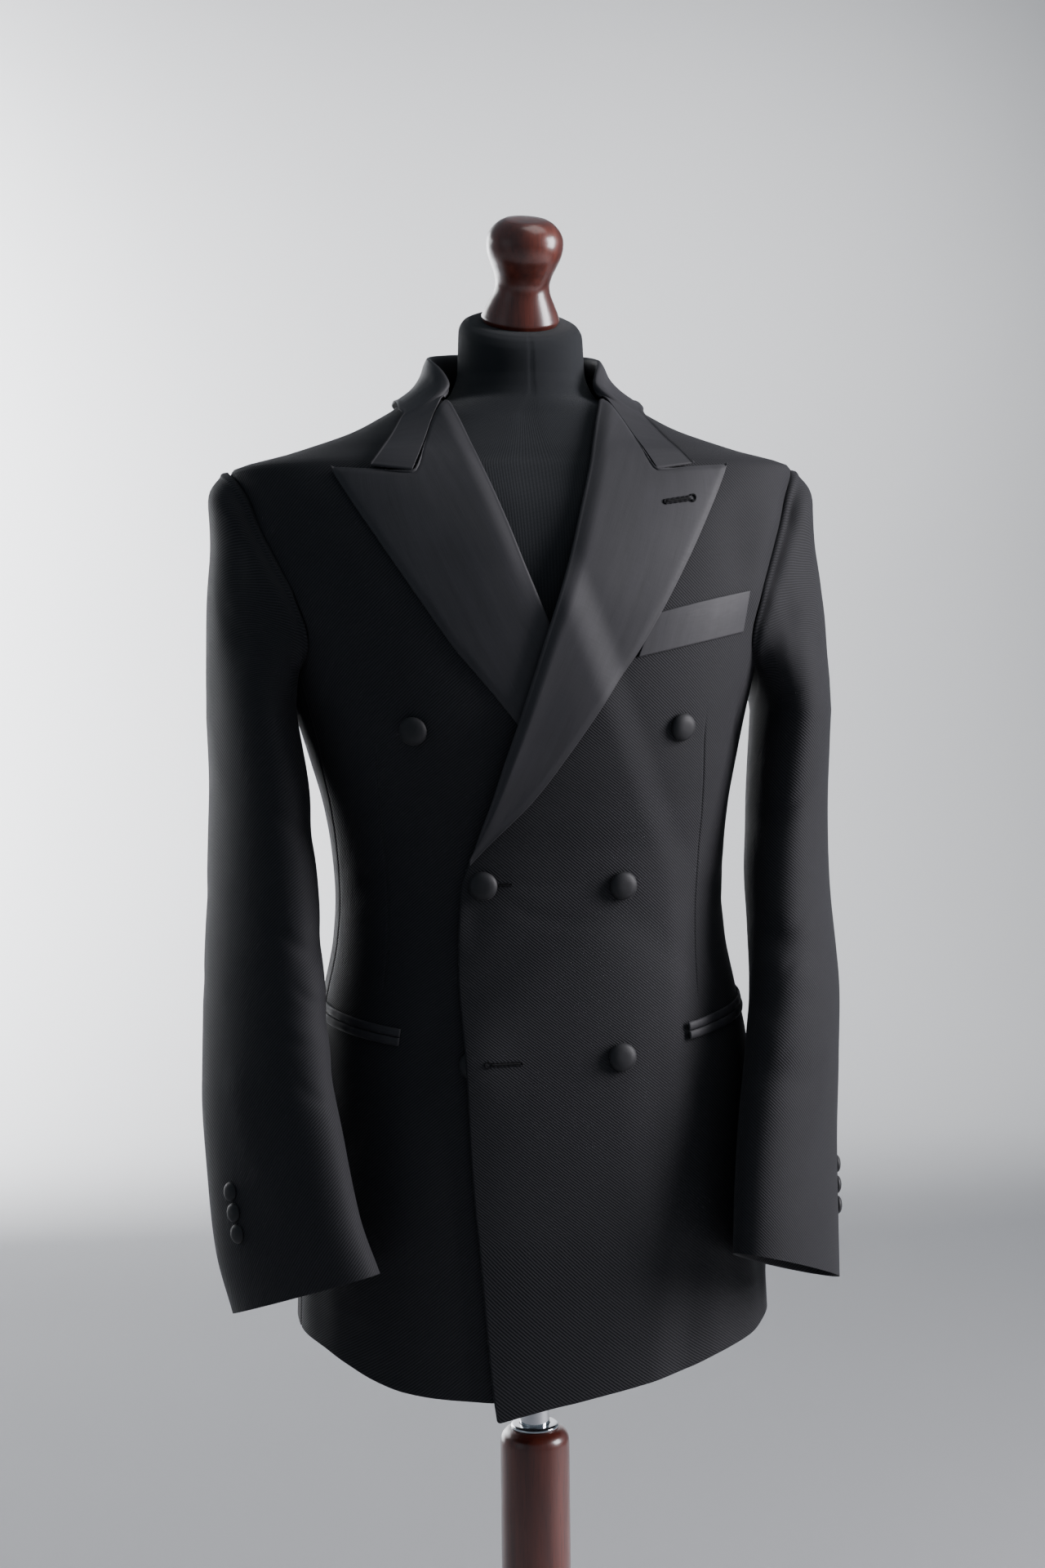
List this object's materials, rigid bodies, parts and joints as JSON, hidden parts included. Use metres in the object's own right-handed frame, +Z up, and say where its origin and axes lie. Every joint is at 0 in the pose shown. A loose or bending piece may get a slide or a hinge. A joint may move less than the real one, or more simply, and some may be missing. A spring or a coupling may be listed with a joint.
{
  "type": "double-breasted dinner jacket on a limbless dress form with its stand",
  "caption": "Double-breasted dinner jacket with satin peak lapels, collar, welt and covered buttons, worn by a limbless dress form on a turned wooden column and round base.",
  "frame": {"origin": "middle of the base's underside, below the pole", "axes": "+Z up along the pole; the jacket faces -Y and its wearer's left is +X"},
  "size_m": [0.4989, 0.36, 1.6188],
  "materials": {
    "wool": "fine diagonal twill, matt",
    "satin": "satin weave, soft sheen",
    "button_satin": "satin-covered button",
    "jersey": "stretched jersey, matt",
    "mahogany": "stained and varnished, glossy",
    "chrome": "polished"
  },
  "bodies": {
    "stand": {"base": "mahogany", "column": "mahogany", "flange": "chrome"},
    "pole": {"pole": "chrome"},
    "bust": {"form_torso": "jersey", "neck_knob": "mahogany", "left_front": "wool", "right_front": "wool", "left_side": "wool", "right_side": "wool", "back_left": "wool", "back_right": "wool", "left_lapel": "satin", "right_lapel": "satin", "collar": "satin", "left_top_sleeve": "wool", "left_under_sleeve": "wool", "right_top_sleeve": "wool", "right_under_sleeve": "wool", "left_sleeve_button_1": "button_satin", "left_sleeve_button_2": "button_satin", "left_sleeve_button_3": "button_satin", "right_sleeve_button_1": "button_satin", "right_sleeve_button_2": "button_satin", "right_sleeve_button_3": "button_satin", "breast_welt": "satin", "left_upper_jet": "satin", "left_lower_jet": "satin", "right_upper_jet": "satin", "right_lower_jet": "satin", "button_top_right": "button_satin", "button_top_left": "button_satin", "button_waist_fastened": "button_satin", "button_waist_left": "button_satin", "button_hip_left": "button_satin", "button_hip_right": "button_satin"}
  },
  "joints": [
    {"name": "pole_height", "type": "slide", "parent": "stand", "child": "pole", "axis": [0, 0, 1], "range_m": [-0.1, 0.12]},
    {"name": "bust_turn", "type": "hinge", "parent": "pole", "child": "bust", "pos_m": [0, 0, 0.86], "axis": [0, 0, 1], "continuous": true}
  ]
}
